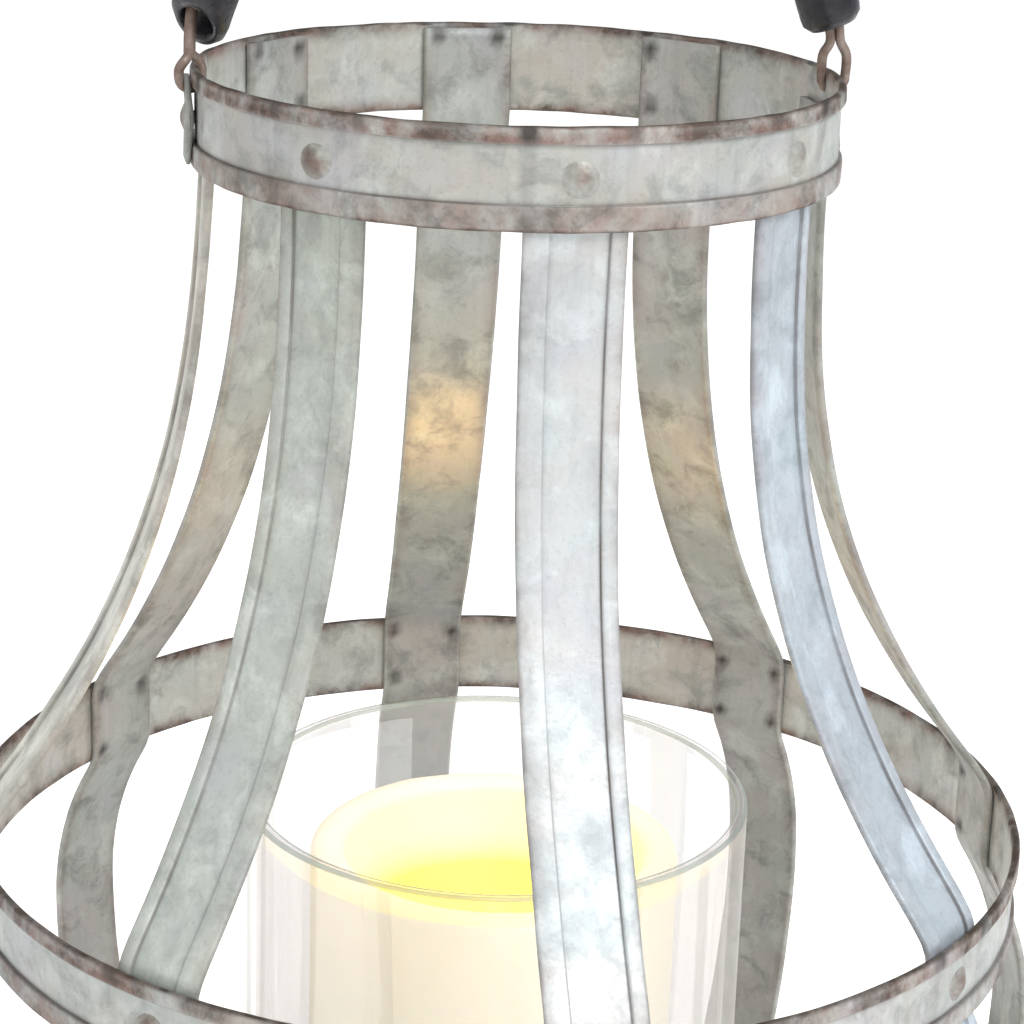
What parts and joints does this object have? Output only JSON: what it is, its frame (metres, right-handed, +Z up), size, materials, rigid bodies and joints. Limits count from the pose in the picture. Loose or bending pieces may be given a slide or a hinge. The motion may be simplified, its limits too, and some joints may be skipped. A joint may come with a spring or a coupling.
{
  "type": "barn lantern",
  "caption": "Candle lantern: an open cage of bent, hemmed galvanised strips riveted inside three bands, with a glass chimney, a battery candle and a sleeved swing handle.",
  "frame": {"origin": "middle of the underside, on the lantern's axis", "axes": "+Z up along the lantern's axis; the handle hinges about X; +Y is the back, and the handle leans towards -Y"},
  "size_m": [0.2336, 0.2336, 0.3729],
  "materials": {
    "galvanised_band": "weathered galvanised zinc, mottled, rust along the folded edges",
    "galvanised_slat": "weathered galvanised zinc with a cloudy spangle",
    "galvanised_plate": "dull galvanised zinc",
    "rivet": "rusty, domed",
    "ear": "weathered galvanised zinc",
    "rusty_wire": "dull brown wire",
    "black_sleeve": "black, soft sheen",
    "glass": "clear, polished",
    "wax": "ivory wax, lit from inside",
    "candle_plastic": "satin moulded plastic",
    "lamp_diffuser": "translucent warm diffuser",
    "circuit_board": "solder-masked board",
    "battery_can": "plain sleeved can",
    "contact_brass": "bare spring strip",
    "switch_black": "moulded"
  },
  "bodies": {
    "cage": {"top_band": "galvanised_band", "middle_band": "galvanised_band", "base_band": "galvanised_band", "base_plate": "galvanised_plate", "slat_1": "galvanised_slat", "slat_2": "galvanised_slat", "slat_3": "galvanised_slat", "slat_4": "galvanised_slat", "slat_5": "galvanised_slat", "slat_6": "galvanised_slat", "slat_7": "galvanised_slat", "slat_8": "galvanised_slat", "rivet_top_1": "rivet", "rivet_top_2": "rivet", "rivet_top_3": "rivet", "rivet_top_4": "rivet", "rivet_top_5": "rivet", "rivet_top_6": "rivet", "rivet_top_7": "rivet", "rivet_top_8": "rivet", "rivet_middle_1": "rivet", "rivet_middle_2": "rivet", "rivet_middle_3": "rivet", "rivet_middle_4": "rivet", "rivet_middle_5": "rivet", "rivet_middle_6": "rivet", "rivet_middle_7": "rivet", "rivet_middle_8": "rivet", "rivet_base_1": "rivet", "rivet_base_2": "rivet", "rivet_base_3": "rivet", "rivet_base_4": "rivet", "rivet_base_5": "rivet", "rivet_base_6": "rivet", "rivet_base_7": "rivet", "rivet_base_8": "rivet", "ear_right": "ear", "ear_left": "ear"},
    "handle": {"handle_wire": "rusty_wire", "handle_sleeve": "black_sleeve"},
    "chimney": {"glass_chimney": "glass"},
    "candle": {"candle_wax": "wax", "candle_core": "candle_plastic", "candle_lamp": "lamp_diffuser", "candle_board": "circuit_board", "battery_1": "battery_can", "battery_2": "battery_can"},
    "cover": {"battery_cover": "candle_plastic", "battery_contact": "contact_brass"},
    "switch": {"candle_switch": "switch_black"}
  },
  "joints": [
    {"name": "handle_swing", "type": "hinge", "parent": "cage", "child": "handle", "pos_m": [0, 0, 0.3032], "axis": [1, 0, 0], "range_deg": [-38, 28]},
    {"name": "chimney_lift", "type": "slide", "parent": "cage", "child": "chimney", "axis": [0, 0, 1], "range_m": [0, 0.145]},
    {"name": "candle_lift", "type": "slide", "parent": "cage", "child": "candle", "axis": [0, 0, 1], "range_m": [0, 0.15]},
    {"name": "cover_turn", "type": "hinge", "parent": "candle", "child": "cover", "pos_m": [0, 0, 0.004], "axis": [0, 0, 1], "range_deg": [0, 20]},
    {"name": "switch_travel", "type": "slide", "parent": "candle", "child": "switch", "axis": [0, 1, 0], "range_m": [0, 0.0016]}
  ]
}
